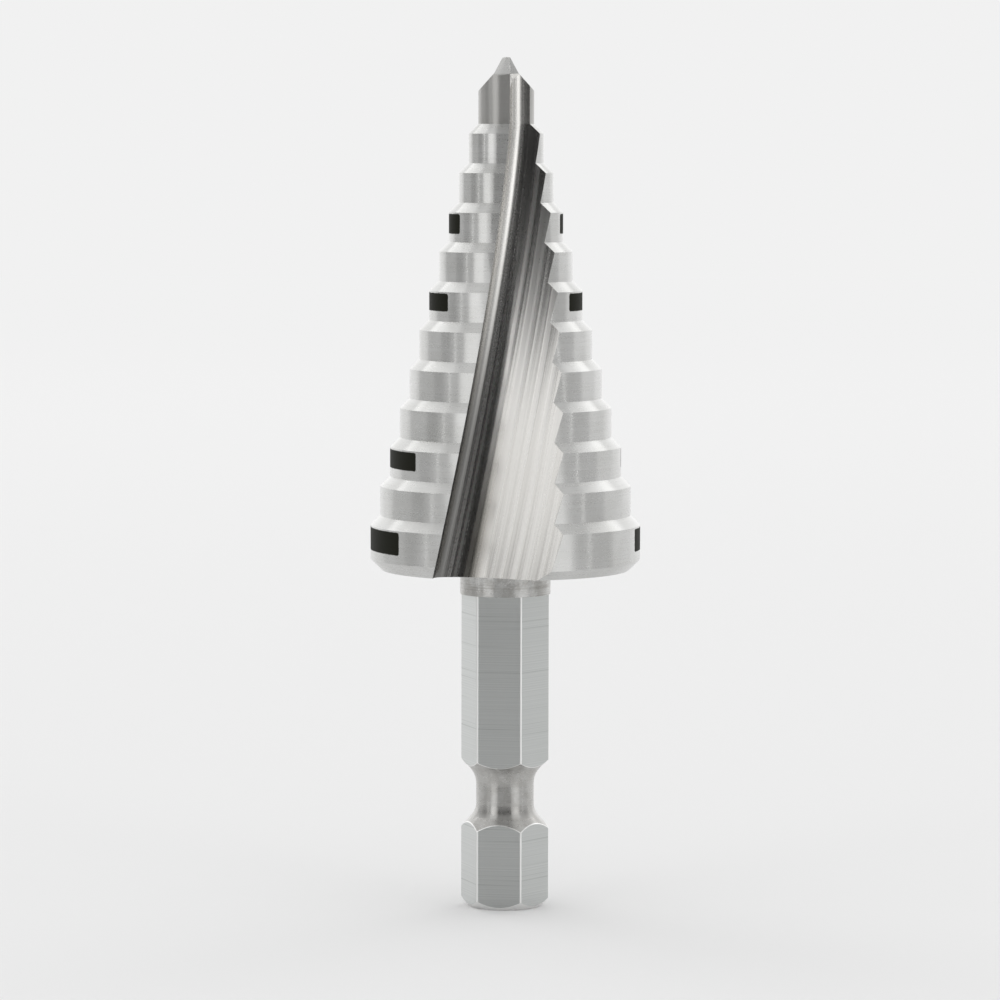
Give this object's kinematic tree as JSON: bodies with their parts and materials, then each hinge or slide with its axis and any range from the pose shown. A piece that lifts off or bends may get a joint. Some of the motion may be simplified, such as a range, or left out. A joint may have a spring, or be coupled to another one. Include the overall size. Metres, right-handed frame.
{
  "type": "step drill bit",
  "caption": "Stepped cone drill bit with a split point, spiral chip flutes and a grooved hexagon quick-change shank, for cutting and widening round holes in sheet.",
  "frame": {"origin": "centre of the flat end of the hexagon shank, on the bit's axis", "axes": "+Z along the axis from the shank to the point; -Y out through the mouth of one flute where it reaches the base; +X to the right seen from there, the way that flute's edge cuts"},
  "size_m": [0.022, 0.0204, 0.0693],
  "materials": {
    "ground_steel": "bright satin, as turned and ground"
  },
  "bodies": {
    "root": {"step_bit": "ground_steel"}
  },
  "joints": []
}
